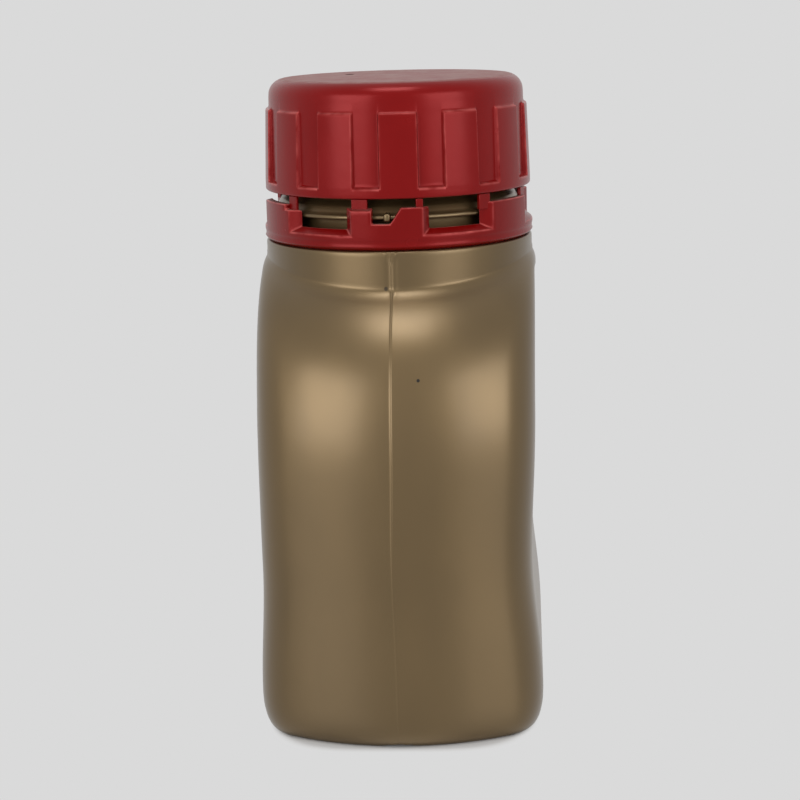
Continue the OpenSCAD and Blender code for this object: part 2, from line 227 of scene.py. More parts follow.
def new_piece(name, verts, faces, sharp_deg=32):
    mesh = bpy.data.meshes.new(name)
    mesh.from_pydata([tuple(v) for v in verts], [], faces)
    mesh.validate()
    tidy(mesh)
    mesh.shade_smooth()
    mesh.set_sharp_from_angle(angle=math.radians(sharp_deg))
    obj = bpy.data.objects.new(name, mesh)
    bpy.context.scene.collection.objects.link(obj)
    return obj


def tidy(mesh):
    """Merges points that coincide, drops edges left without a face, and turns every face outwards."""
    bm = bmesh.new()
    bm.from_mesh(mesh)
    bmesh.ops.remove_doubles(bm, verts=bm.verts, dist=0.002 * MM)
    bmesh.ops.delete(bm, geom=[e for e in bm.edges if not e.link_faces], context="EDGES")
    bmesh.ops.recalc_face_normals(bm, faces=bm.faces)
    bm.to_mesh(mesh)
    bm.free()


def repeat_columns(offsets, centres):
    """Sorted azimuths of the columns: a set of offsets round each centre."""
    return np.array(sorted({round((c + o) % 360, 4) for c in centres for o in offsets}))


# Bottle

RIDGE_H, RIDGE_W, RIDGE_FADE = 0.09, 0.14, 0.07
SEAM_H, SEAM_W = 0.11, 0.15
SEAM_DIP, SEAM_DIP_AT = 0.05, 0.55
SEAM_FORK_Z, SEAM_FORK = 72.3, 0.6


def parting_ridge(azimuth, z, radius):
    """Fine flash along the mould's parting line, coarser on the collar, where it forks at the top."""
    off = radius * np.sin(np.radians((azimuth + 90) % 180 - 90))
    fine = (RIDGE_H - RIDGE_FADE * smooth((44 - z) / 24)) * np.exp(-((off / RIDGE_W) ** 2))
    fork = SEAM_FORK * np.maximum(z - SEAM_FORK_Z, 0)
    coarse = SEAM_H * np.exp(-(((np.abs(off) - fork) / SEAM_W) ** 2))
    dips = SEAM_DIP * np.exp(-(((np.abs(off) - SEAM_DIP_AT) / 0.35) ** 2))
    on_collar = smooth((z - 66.6) / 1.2)
    return fine * (1 - on_collar) + (coarse - dips) * on_collar


def ring_lift(azimuth, radius):
    """Shallow arch that the parting line leaves under the foot ring."""
    arch_r = ((NOTCH_W / 2) ** 2 + NOTCH_H**2) / (2 * NOTCH_H)
    off = np.abs(radius * np.sin(np.radians(azimuth)))
    arch = np.sqrt(np.maximum(arch_r**2 - off**2, 0)) - (arch_r - NOTCH_H)
    return np.where(off < NOTCH_W / 2, np.maximum(arch, 0), 0)


def bottle_rows(az):
    """Radii and heights of the bottle's rows, from under the base over the outside and down the inside."""
    radii, heights = [], []

    def add(r, z):
        radii.append(np.broadcast_to(r, az.shape).astype(float))
        heights.append(np.broadcast_to(z, az.shape).astype(float))

    flat = np.full_like(az, FOOT_Z)
    ring_inner = outline_radius(az, flat, foot_draw(0.0) + RING_W)
    ring_outer = outline_radius(az, flat, foot_draw(0.0))
    for u in (0.02, 0.3, 0.6, 0.85, 0.97):
        add(ring_inner * u, RECESS_H - 0.15 * (1 - u**2))
    add(ring_inner - 0.25, RECESS_H - 0.05)
    for u in (0.2, 0.5, 0.8):
        add(ring_inner + 0.15 * (u - 0.5), ease(RECESS_H, 0, u))
    for u in (0.08, 0.35, 0.65, 1.0):
        r = ring_inner + (ring_outer - ring_inner) * u
        add(r, ring_lift(az, r))

    for z in FOOT_Z * np.array([0.03, 0.08, 0.15, 0.25, 0.38, 0.55, 0.75]):
        r = body_radius(az, np.full_like(az, z))
        add(r + parting_ridge(az, z, r), np.maximum(z, ring_lift(az, r)))

    crease = crease_height(az)
    body_count = 84
    for i in range(body_count):
        u = i / body_count
        z = FOOT_Z + (crease - 1.6 - FOOT_Z) * (1 - (1 - u) ** 1.25)
        r = body_radius(az, z)
        add(r + parting_ridge(az, z, r), z)
    for off in np.concatenate([np.linspace(-1.6, -0.6, 6)[:-1], np.linspace(-0.6, 0.8, 15), [1.2]]):
        z = crease + off
        inner = body_radius(az, np.minimum(z, SHOULDER_Z - 0.3))
        r = smooth_max(inner, np.full_like(az, COLLAR_R), CREASE_BLEND)
        add(r + parting_ridge(az, z, r), z)
    above = crease + 1.2
    for u in (0.2, 0.4, 0.5, 0.6, 0.7, 0.8, 0.9, 1.0):
        z = above + (COLLAR_Z - 0.4 - above) * u
        add(COLLAR_R + parting_ridge(az, z, COLLAR_R), z)
    for deg in (22.5, 45, 67.5, 90):
        a = math.radians(deg)
        r = COLLAR_R - 0.4 + 0.4 * math.cos(a)
        z = COLLAR_Z - 0.4 + 0.4 * math.sin(a)
        add(r + parting_ridge(az, z, r) * math.cos(a), z)

    profile = [(18.6, COLLAR_Z), (18.1, COLLAR_Z + 0.1), (18.0, COLLAR_Z + 0.4), (18.0, BEAD_Z - 0.5),
               (18.1, BEAD_Z - 0.15), (18.4, BEAD_Z)]
    for deg in (0, 22.5, 45, 67.5, 90):
        a = math.radians(deg)
        out, up = LIP_ROUND * math.sin(a), LIP_ROUND - LIP_ROUND * math.cos(a)
        profile.append((BEAD_R - LIP_ROUND + out, BEAD_Z + up))
    edge_z, top_z = BEAD_Z + BEAD_EDGE, BEAD_Z + BEAD_H
    profile += [(BEAD_R - 0.05, edge_z - 0.38), (BEAD_R - 0.22, edge_z - 0.2)]
    profile += [(BEAD_R - 0.45 - BEAD_SLOPE * u, edge_z + u) for u in (0, 0.3, 0.6, 0.9, 1.2)]
    profile += [(NECK_R + 0.35, edge_z + 1.7), (NECK_R + 0.1, top_z), (NECK_R, top_z + 0.8)]
    for r, z in profile:
        add(r, z)
    for z in np.linspace(BEAD_Z + BEAD_H + 1.2, MOUTH_Z - 0.5, 80):
        add(NECK_R + THREAD_H * thread_rise(az, z, NECK_THREAD_Z, 0), z)
    for deg in (30, 60, 90):
        a = math.radians(deg)
        add(NECK_R - 0.5 + 0.5 * math.cos(a), MOUTH_Z - 0.5 + 0.5 * math.sin(a))
    for deg in (0, 45, 90):
        a = math.radians(deg)
        add(BORE_R + 0.3 - 0.3 * math.sin(a), MOUTH_Z - 0.3 + 0.3 * math.cos(a))
    for z in np.linspace(MOUTH_Z - 2, COLLAR_Z, 8):
        add(BORE_R, z)

    inner_collar = COLLAR_R - WALL - 0.3
    for r, drop in ((BORE_R + 0.6, 1.2), (inner_collar - 0.6, 2.6), (inner_collar, 3.2)):
        add(r, COLLAR_Z - drop)
    floor_z = RECESS_H + WALL
    crease_in = crease + 0.2
    for i in range(36):
        u = i / 36
        z = crease_in + (floor_z + FOOT_Z - crease_in) * (1 - (1 - u) ** 0.8) if i else crease_in
        r = outline_radius(az, np.clip(z + WALL * curve_share(z), FOOT_Z, SHOULDER_Z - 0.7), WALL)
        add(smooth_max(r, np.full_like(az, inner_collar), 1.0) if i < 4 else r, z)
    for u in (1.0, 0.7, 0.35, 0.12, 0.03):
        add(outline_radius(az, flat, foot_draw(FOOT_Z * u) + WALL), floor_z + FOOT_Z * u)
    for u in (0.9, 0.6, 0.3, 0.02):
        add(outline_radius(az, flat, foot_draw(0.0) + WALL) * u, floor_z)
    return np.array(radii), np.array(heights)


def waist_lean(z):
    """The bottle leans a little at its waist."""
    return WAIST_LEAN * np.exp(-(((z - WAIST_Z - 2) / 12) ** 2))


def make_bottle():
    fine = [0, 0.1, 0.2, 0.32, 0.46, 0.62, 0.8, 1.0, 1.25, 1.5, 1.75, 2.0, 2.3, 2.6, 3.0, 3.6]
    near = [-v for v in fine] + fine
    az = repeat_columns(near, [0, 180])
    regular = np.arange(-180, 180, 1.5) % 360
    gap = np.minimum(regular % 180, 180 - regular % 180)
    az = np.sort(np.concatenate([az, regular[gap > 4]]))
    radii, heights = bottle_rows(az)
    bottle = polar_mesh("bottle_shell", az, radii, heights, lean=waist_lean)
    for side in (0, 180):
        lug = rounded_block(LUG_W, LUG_DEPTH, LUG_H + 0.2, LUG_ROUND)
        place = Matrix.Rotation(math.radians(LUG_AZIMUTH + side), 4, "Z")
        place = place @ Matrix.Translation(Vector((0, -LUG_MIDDLE_R, BEAD_Z + LUG_H / 2)) * MM)
        lug.data.transform(place)
        join_into(bottle, lug)
    return bottle


def rounded_block(width, depth, height, round_r):
    """Block with rounded edges, centred on its middle."""
    mesh = bpy.data.meshes.new("block")
    bm = bmesh.new()
    bmesh.ops.create_cube(bm, size=1)
    bmesh.ops.scale(bm, vec=(width * MM, depth * MM, height * MM), verts=bm.verts)
    bmesh.ops.bevel(bm, geom=bm.edges[:], offset=round_r * MM, segments=3, profile=0.5, affect="EDGES")
    bm.to_mesh(mesh)
    bm.free()
    mesh.shade_smooth()
    obj = bpy.data.objects.new("block", mesh)
    bpy.context.scene.collection.objects.link(obj)
    return obj


def join_into(target, other):
    """Adds another piece's mesh to the target's and removes the other piece."""
    bm = bmesh.new()
    bm.from_mesh(target.data)
    bm.from_mesh(other.data)
    bm.to_mesh(target.data)
    bm.free()
    bpy.data.objects.remove(other)


# Screw cap

def make_cap():
    """Ribbed cap with a closed rim, a round top edge and a thread inside."""
    offsets = [0, 2.7, 5.2, 6.8, 7.4, 7.75, 7.95, 8.15, 8.35, 8.55, 8.75, 9.0, 9.5, 10.6, 12.2]
    step = 360 / RIB_COUNT
    near = [-v for v in offsets] + offsets + [step / 2]
    az = repeat_columns(near, [CAP_TURN + i * step for i in range(RIB_COUNT)])
    off = np.abs((az - CAP_TURN + step / 2) % step - step / 2)
    rib = 1 - smooth((off - RIB_HALF_DEG + 0.45) / 0.9)
    radii, heights = [], []

    def add(r, z):
        radii.append(np.broadcast_to(r, az.shape).astype(float))
        heights.append(np.full_like(az, z))

    rib_top = TOP_Z - RIB_DROP
    ledge = CAP_Z + RIM_H
    flute_r = CAP_R - RIB_RELIEF
    crown_r = flute_r - RIB_DRAFT / 2

    def wall_radius(z):
        """Radius of the flutes' bottoms, and of the ribs, at height z."""
        u = (z - ledge) / (rib_top - ledge)
        bottom = flute_r + (crown_r - flute_r) * np.clip(u, 0, 1)
        over_rim = CAP_R - (CAP_R - flute_r) * smooth((z - ledge + 0.25) / 0.45)
        bottom = over_rim if z < ledge + 0.2 else bottom
        top = CAP_R - RIB_DRAFT * np.clip(u, 0, 1)
        return bottom, top

    for deg in (-90, -60, -30, 0):
        a = math.radians(deg)
        add(CAP_R - 0.3 + 0.3 * math.cos(a), CAP_Z + 0.3 + 0.3 * math.sin(a))
    edges = [CAP_Z + 0.7, ledge - 0.5]
    edges += [ledge - 0.25 + 0.45 * u for u in (0, 0.15, 0.3, 0.45, 0.6, 0.75, 0.9, 1)]
    edges += [ledge + 0.6, ledge + 1.5, ledge + 3, ledge + 5, ledge + 7, ledge + 9, rib_top - 0.6]
    for z in edges:
        bottom, top = wall_radius(z)
        add(bottom + rib * (top - bottom), z)
    for deg in (0, 20, 40, 60, 80):
        a = math.radians(deg)
        z = rib_top - 0.4 + 0.4 * math.sin(a)
        bottom, top = wall_radius(z)
        add(bottom + rib * (top - 0.4 + 0.4 * math.cos(a) - bottom), z)
    add(crown_r + 0.08 * rib, rib_top + 0.12)
    add(crown_r, rib_top + 0.3)
    add(crown_r - 0.03, rib_top + 1.6)
    for deg in range(0, 91, 10):
        a = math.radians(deg)
        add(crown_r - 0.05 - TOP_ROUND + TOP_ROUND * math.cos(a), TOP_Z - TOP_ROUND + TOP_ROUND * math.sin(a))
    for r in (17.3, 16.0, 14, 11, 7, 3, 0):
        add(r, TOP_Z - 0.06 * (1 - (r / 18.9) ** 2))

    ceiling = TOP_Z - TOP_WALL
    for r in (0, 3, 7, 12, 16.5, CAP_BORE_R - 0.3):
        add(r, ceiling)
    add(CAP_BORE_R, ceiling - 0.3)
    skirt_z = ledge + 0.4
    for z in np.linspace(ceiling - 0.6, skirt_z, 64):
        rise = thread_rise(az, z, NECK_THREAD_Z - THREAD_OFFSET, -90)
        add(CAP_BORE_R - (CAP_BORE_R - CAP_CREST_R) * rise, z)
    add(SKIRT_R, skirt_z - 0.8)
    add(SKIRT_R, CAP_Z + 0.15)
    add(SKIRT_R + 0.15, CAP_Z)
    cap = closed_ring_mesh("cap_moulding", az, np.array(radii), np.array(heights))
    paint_cap_edge_highlights(cap, step, ledge, rib_top)
    return cap


def paint_cap_edge_highlights(cap, step, ledge, rib_top):
    """Marks the cap's edges that get a painted highlight: the sides and tops of the ribs, and the rim under
    the flutes.
    """
    layer = cap.data.attributes.new("painted_edge_highlight", "FLOAT", "POINT")
    for v, mark in zip(cap.data.vertices, layer.data):
        x, y, z = v.co / MM
        if math.hypot(x, y) < SKIRT_R + 0.05 or z < ledge - 1.5:
            continue
        azimuth = math.degrees(math.atan2(x, -y))
        off = abs((azimuth - CAP_TURN + step / 2) % step - step / 2)
        side = math.exp(-(((off - RIB_HALF_DEG + 0.35) / 0.28) ** 2)) * (ledge - 0.2 < z < rib_top)
        top = math.exp(-(((z - rib_top + 0.1) / 0.16) ** 2)) * (off < RIB_HALF_DEG) * 0.8
        rim = math.exp(-(((z - ledge + 0.2) / 0.14) ** 2)) * (off > RIB_HALF_DEG)
        mark.value = max(side * 0.6, top, rim)


def closed_ring_mesh(name, azimuths, radii, heights):
    """Piece whose rows run once round a section and meet again."""
    rows, cols = radii.shape
    phi = np.radians(azimuths)
    points = np.stack([radii * np.sin(phi), -radii * np.cos(phi), heights], axis=2).reshape(-1, 3) * MM
    faces = []
    for j in range(rows):
        a, b = j * cols, ((j + 1) % rows) * cols
        for i in range(cols):
            k = (i + 1) % cols
            faces.append((a + i, a + k, b + k, b + i))
    return new_piece(name, points, faces)


# Tamper band

def band_outline(sill, flare):
    """Castellated edge of the band, developed flat, as azimuth and height above the collar."""
    step = (RATCHET_DEG + WINDOW_DEG) / 2
    near, far = NEAR_FLARE * flare, FAR_FLARE * flare
    low_top = BAND_H - TOP_SLOPE * flare
    notch = [(NOTCH_WALL, low_top), (NOTCH_WALL, NOTCH_FLOOR), (NOTCH_FOOT, NOTCH_FLOOR),
             (NOTCH_FOOT + (BAND_H - NOTCH_FLOOR) * NOTCH_SLOPE, BAND_H)]
    step_at = -step - WINDOW_DEG / 2 - FAR_FLARE - STEP_DEG
    points = []
    for side in (0, 180):
        points += window_points(side - 90, far, far, sill)
        points += [(side + step_at, BAND_H), (side + step_at, BAND_H - STEP_H)]
        points += window_points(side - step, far, near, sill, BAND_H - STEP_H, low_top)
        points += [(side + math.degrees(x / BAND_R), z) for x, z in notch]
        points += window_points(side + step, near, far, sill)
    return points


def window_points(centre, left_flare, right_flare, sill, left_top=BAND_H, right_top=BAND_H):
    left, right = centre - WINDOW_DEG / 2 - left_flare, centre + WINDOW_DEG / 2 + right_flare
    return [(left, left_top), (left, sill), (right, sill), (right, right_top)]


BAND_START = -110


def make_band():
    """Band built flat with bevelled edges, cut into short lengths, and then bent round the neck."""
    bm = bmesh.new()
    end = BAND_START + 360
    outer_r, inner_r = BAND_R, SKIRT_R

    def face_points(sill, flare, r):
        top = [(BAND_START, BAND_H)] + band_outline(sill, flare) + [(end, BAND_H)]
        loop = [(BAND_START, 0)] + top + [(end, 0)]
        return [bm.verts.new((math.radians(a) * BAND_R, r, z)) for a, z in loop]

    front = face_points(SILL_H - SILL_SLOPE, 1, outer_r)
    back = face_points(SILL_H, 0, inner_r)
    bm.faces.new(front)
    bm.faces.new(list(reversed(back)))
    count = len(front)
    for i in range(count):
        k = (i + 1) % count
        if {i, k} in ({0, 1}, {count - 2, count - 1}):
            continue
        bm.faces.new((front[k], front[i], back[i], back[k]))
    bmesh.ops.recalc_face_normals(bm, faces=bm.faces)
    edges = [e for e in bm.edges if not e.is_boundary and e.calc_face_angle() > math.radians(25)]
    round_faces = bmesh.ops.bevel(bm, geom=edges, offset=0.22, segments=3, profile=0.5, affect="EDGES",
                                  clamp_overlap=True)["faces"]
    # Painted highlight: points on the rounded edges are marked for a paler red.
    painted_edge_glint = bm.verts.layers.float.new("painted_edge_highlight")
    rounded = set(round_faces)
    for v in bm.verts:
        v[painted_edge_glint] = 1.0 if v.link_faces and all(f in rounded for f in v.link_faces) else 0.0
    for a in np.arange(BAND_START + 3, end, 3.0):
        whole = bm.verts[:] + bm.edges[:] + bm.faces[:]
        bmesh.ops.bisect_plane(bm, geom=whole, plane_co=(math.radians(a) * BAND_R, 0, 0), plane_no=(1, 0, 0))
    for z in (0.2, 0.375, 0.55, 0.7, 0.82, 0.95, 1.35, 1.55, 1.75, 2.1, 3.2, 4.0, 4.6, 5.4, 6.1):
        whole = bm.verts[:] + bm.edges[:] + bm.faces[:]
        bmesh.ops.bisect_plane(bm, geom=whole, plane_co=(0, 0, z), plane_no=(0, 0, 1))
    for v in bm.verts:
        arc, r, z = v.co
        if r > outer_r - 0.3:
            r -= GROOVE_DEPTH * float(smooth((z - 0.7) / 0.25) - smooth((z - 1.35) / 0.4))
            r -= float(np.interp(z, (0, 0.2, 0.375, 0.55, UNDERCUT), (0.9, 0.5, 0.25, 0.08, 0)))
        a = arc / BAND_R + math.radians(BAND_TURN)
        v.co = Vector((r * math.sin(a), -r * math.cos(a), COLLAR_Z + z)) * MM
    mesh = bpy.data.meshes.new("band_moulding")
    bmesh.ops.remove_doubles(bm, verts=bm.verts, dist=0.002 * MM)
    bmesh.ops.recalc_face_normals(bm, faces=bm.faces)
    bm.normal_update()
    # The painted highlight is kept mostly where the edges face up towards the lamps.
    for v in bm.verts:
        v[painted_edge_glint] *= 0.3 + 0.7 * min(max(v.normal.z * 1.5, 0), 1)
    bm.to_mesh(mesh)
    bm.free()
    mesh.shade_smooth()
    band = bpy.data.objects.new("band_moulding", mesh)
    bpy.context.scene.collection.objects.link(band)
    add_hook(band)
    add_bridges(band)
    weighted = band.modifiers.new("flat_faces", "WEIGHTED_NORMAL")
    weighted.weight = 100
    return band


def add_hook(band):
    """Inner hook that is caught under the bead."""
    profile = [(SKIRT_R + 0.2, 0.3), (SKIRT_R - 0.6, 0.1), (18.9, 1.7), (18.8, 2.0)]
    profile += [(18.85, 2.5), (19.1, 2.65), (SKIRT_R + 0.2, 2.95)]
    az = np.arange(0, 360, 4.0)
    radii = np.array([np.full_like(az, r) for r, _ in profile])
    heights = np.array([np.full_like(az, COLLAR_Z + z) for _, z in profile])
    join_into(band, closed_ring_mesh("hook", az, radii, heights))


def add_bridges(band):
    """Thin bridges between the band and the cap, some of them set back."""
    gap = CAP_Z - COLLAR_Z - BAND_H
    height = gap + 1
    for side in (0, 180):
        for azimuth, degrees, forward in BRIDGES:
            middle_r = SKIRT_R + 0.28 + forward
            width = math.radians(degrees) * middle_r
            bridge = rounded_block(width, 0.5 + forward / 2, height, 0.12)
            bend(bridge, middle_r)
            turn = Matrix.Rotation(math.radians(azimuth + side + BAND_TURN), 4, "Z")
            lift = Matrix.Translation(Vector((0, 0, CAP_Z - 0.05 - height / 2)) * MM)
            bridge.data.transform(turn @ lift)
            join_into(band, bridge)


def bend(obj, radius):
    """Bends a flat block round the axis."""
    for v in obj.data.vertices:
        r = radius * MM - v.co.y
        a = v.co.x / (radius * MM)
        v.co.x, v.co.y = r * math.sin(a), -r * math.cos(a)


# Materials

def node(nodes, kind, **settings):
    n = nodes.new(kind)
    for key, value in settings.items():
        setattr(n, key, value)
    return n


def material(name):
    mat = bpy.data.materials.new(name)
    mat.use_nodes = True
    nodes, links = mat.node_tree.nodes, mat.node_tree.links
    return mat, nodes, links, nodes["Principled BSDF"]


def noise(nodes, links, coords, scale, detail=3, stretch=(1, 1, 1), rough=0.5):
    """Noise over the object's own coordinates, in cycles a metre."""
    mapping = node(nodes, "ShaderNodeMapping")
    mapping.inputs["Scale"].default_value = stretch
    links.new(coords, mapping.inputs["Vector"])
    tex = node(nodes, "ShaderNodeTexNoise")
    tex.inputs["Scale"].default_value = scale
    tex.inputs["Detail"].default_value = detail
    tex.inputs["Roughness"].default_value = rough
    links.new(mapping.outputs["Vector"], tex.inputs["Vector"])
    return tex.outputs["Fac"]


def ramp(nodes, links, value, low, high, low_at=0.35, high_at=0.65):
    """Blend of two colours by a value."""
    r = node(nodes, "ShaderNodeValToRGB")
    r.color_ramp.elements[0].position = low_at
    r.color_ramp.elements[0].color = (*low, 1)
    r.color_ramp.elements[1].position = high_at
    r.color_ramp.elements[1].color = (*high, 1)
    links.new(value, r.inputs["Fac"])
    return r.outputs["Color"]


def span(nodes, links, value, low, high):
    """Value spread between two numbers."""
    m = node(nodes, "ShaderNodeMapRange")
    m.inputs["To Min"].default_value = low
    m.inputs["To Max"].default_value = high
    links.new(value, m.inputs["Value"])
    return m.outputs["Result"]


def bump(nodes, links, value, strength, distance, normal=None):
    b = node(nodes, "ShaderNodeBump")
    b.inputs["Strength"].default_value = strength
    b.inputs["Distance"].default_value = distance
    links.new(value, b.inputs["Height"])
    if normal is not None:
        links.new(normal, b.inputs["Normal"])
    return b.outputs["Normal"]


# Linear colours of the plastics, their dirt, the painted shade of a pit and the painted highlight on their
# edges
DEEP_GOLD, PALE_GOLD = (0.14, 0.091, 0.037), (0.163, 0.106, 0.043)
CAP_RED, BAND_RED = (0.158, 0.0015, 0.0015), (0.14, 0.0012, 0.001)
# Paler red painted along the edges as a highlight
EDGE_HIGHLIGHT_RED = (0.5, 0.1, 0.09, 1)
DUST = (0.3, 0.2, 0.17, 1)
DIRT = (0.012, 0.01, 0.009, 1)
PIT_SHADE = (0.06, 0.04, 0.02, 1)
TOP_DULL = 0.17

# Middles and half sizes of the small marks
CAP_MARK, CAP_MARK_R = (-7.7, 6.9, 98.9), (0.75, 1.3, 0.6)
SPECK, SPECK_R = (4.06, -29.8, 56.1), (0.26, 0.8, 0.26)
# PIT is where a dark colour is painted as the shade of a pit; no pit is modelled.
PIT, PIT_R = (-0.9, -21.0, 68.4), (0.3, 0.8, 0.35)


def bottle_plastic():
    """Satin brown polyethylene with a gold pearl, faint flow streaks, a speck, and painted shade where a pit
    would be.
    """
    mat, nodes, links, shader = material("bottle_plastic")
    coords = node(nodes, "ShaderNodeTexCoord").outputs["Object"]
    clouds = noise(nodes, links, coords, 70, 2, (1, 1, 0.4))
    colour = ramp(nodes, links, clouds, DEEP_GOLD, PALE_GOLD)
    # The speck is dirt; the pit's dark mark is painted shade.
    for centre, size, shade in ((SPECK, SPECK_R, DIRT), (PIT, PIT_R, PIT_SHADE)):
        mark = node(nodes, "ShaderNodeMix", data_type="RGBA")
        mark.inputs["B"].default_value = shade
        links.new(spot(nodes, links, coords, centre, size), mark.inputs["Factor"])
        links.new(colour, mark.inputs["A"])
        colour = mark.outputs["Result"]
    links.new(colour, shader.inputs["Base Color"])
    shader.inputs["Metallic"].default_value = 0.85
    shader.inputs["Coat Weight"].default_value = 0.6
    shader.inputs["Coat Roughness"].default_value = 0.28
    streaks = noise(nodes, links, coords, 120, 3, (1, 1, 0.12))
    links.new(span(nodes, links, streaks, 0.32, 0.4), shader.inputs["Roughness"])
    waves = noise(nodes, links, coords, 90, 2)
    grain = noise(nodes, links, coords, 2600, 2)
    first = bump(nodes, links, waves, 0.25, 0.0004)
    links.new(bump(nodes, links, grain, 0.12, 0.00004, first), shader.inputs["Normal"])
    return mat


def spot(nodes, links, coords, centre, size):
    """Small mark round a point of the surface, from 1 inside to 0 outside."""
    place = node(nodes, "ShaderNodeMapping")
    place.inputs["Scale"].default_value = tuple(1 / (MM * r) for r in size)
    place.inputs["Location"].default_value = tuple(-c / r for c, r in zip(centre, size))
    links.new(coords, place.inputs["Vector"])
    far = node(nodes, "ShaderNodeVectorMath", operation="LENGTH")
    links.new(place.outputs["Vector"], far.inputs[0])
    edge = node(nodes, "ShaderNodeMapRange", interpolation_type="SMOOTHSTEP")
    edge.inputs["From Min"].default_value, edge.inputs["From Max"].default_value = 0.75, 1.1
    edge.inputs["To Min"].default_value, edge.inputs["To Max"].default_value = 1, 0
    links.new(far.outputs["Value"], edge.inputs["Value"])
    return edge.outputs["Result"]


def red_plastic(name, base):
    """Glossy moulded polypropylene with a painted highlight on its edges, a dusty top and one dark mark."""
    mat, nodes, links, shader = material(name)
    coords = node(nodes, "ShaderNodeTexCoord").outputs["Object"]
    clouds = noise(nodes, links, coords, 180, 3)
    deep = tuple(0.92 * c for c in base)
    pale = tuple(1.08 * c for c in base)
    body = ramp(nodes, links, clouds, deep, pale, 0.1, 0.9)
    # Painted highlight: a paler red along the marked edges, broken up by noise.
    edges = node(nodes, "ShaderNodeAttribute", attribute_name="painted_edge_highlight").outputs["Fac"]
    patches = noise(nodes, links, coords, 420, 2)
    painted_edge_glint = node(nodes, "ShaderNodeMath", operation="MULTIPLY")
    links.new(edges, painted_edge_glint.inputs[0])
    links.new(span(nodes, links, patches, -0.6, 1.5), painted_edge_glint.inputs[1])
    mix = node(nodes, "ShaderNodeMix", data_type="RGBA")
    mix.inputs["B"].default_value = EDGE_HIGHLIGHT_RED
    links.new(painted_edge_glint.outputs["Value"], mix.inputs["Factor"])
    links.new(body, mix.inputs["A"])
    upward = node(nodes, "ShaderNodeSeparateXYZ")
    links.new(node(nodes, "ShaderNodeTexCoord").outputs["Normal"], upward.inputs[0])
    on_top = node(nodes, "ShaderNodeMapRange")
    on_top.inputs["From Min"].default_value, on_top.inputs["From Max"].default_value = 0.9, 0.99
    on_top.inputs["To Max"].default_value = TOP_DULL
    links.new(upward.outputs["Z"], on_top.inputs["Value"])
    rough = node(nodes, "ShaderNodeMath", operation="ADD")
    links.new(span(nodes, links, clouds, 0.2, 0.3), rough.inputs[0])
    links.new(on_top.outputs["Result"], rough.inputs[1])
    dirt = spot(nodes, links, coords, CAP_MARK, CAP_MARK_R)
    matt = node(nodes, "ShaderNodeMath", operation="ADD")
    links.new(rough.outputs["Value"], matt.inputs[0])
    links.new(span(nodes, links, dirt, 0, 0.5), matt.inputs[1])
    links.new(matt.outputs["Value"], shader.inputs["Roughness"])
    specks = noise(nodes, links, coords, 400, 4, rough=0.7)
    dusty = node(nodes, "ShaderNodeMath", operation="MULTIPLY")
    links.new(on_top.outputs["Result"], dusty.inputs[0])
    links.new(span(nodes, links, specks, -3, 7), dusty.inputs[1])
    dust = node(nodes, "ShaderNodeMix", data_type="RGBA")
    dust.inputs["B"].default_value = DUST
    links.new(dusty.outputs["Value"], dust.inputs["Factor"])
    links.new(mix.outputs["Result"], dust.inputs["A"])
    dark = node(nodes, "ShaderNodeMix", data_type="RGBA")
    dark.inputs["B"].default_value = DIRT
    links.new(dirt, dark.inputs["Factor"])
    links.new(dust.outputs["Result"], dark.inputs["A"])
    links.new(dark.outputs["Result"], shader.inputs["Base Color"])
    shader.inputs["Specular IOR Level"].default_value = 0.7
    shader.inputs["Specular Tint"].default_value = (1, 0.22, 0.22, 1)
    ripple = noise(nodes, links, coords, 350, 2)
    links.new(bump(nodes, links, ripple, 0.2, 0.0001), shader.inputs["Normal"])
    return mat


def liner_foam():
    """Off-white foam wad with fine closed cells."""
    mat, nodes, links, shader = material("liner_foam")
    coords = node(nodes, "ShaderNodeTexCoord").outputs["Object"]
    cells = noise(nodes, links, coords, 1800, 3)
    links.new(ramp(nodes, links, cells, (0.74, 0.73, 0.69), (0.84, 0.83, 0.79)), shader.inputs["Base Color"])
    shader.inputs["Roughness"].default_value = 0.7
    links.new(bump(nodes, links, cells, 0.4, 0.0001), shader.inputs["Normal"])
    return mat


def paint(obj, mat):
    obj.data.materials.clear()
    obj.data.materials.append(mat)


# Stage, lights and camera

PALE = 0.701
# The second value is the darker floor colour painted next to the foot, a painted contact shadow.
FLOOR_DIFFUSE, FLOOR_PAINTED_SHADE = 0.8, 0.6
FLOOR_GLOSS, FLOOR_ROUGHNESS = 0.25, 0.3
SHADOW_REACH = (1.02, 1.1)


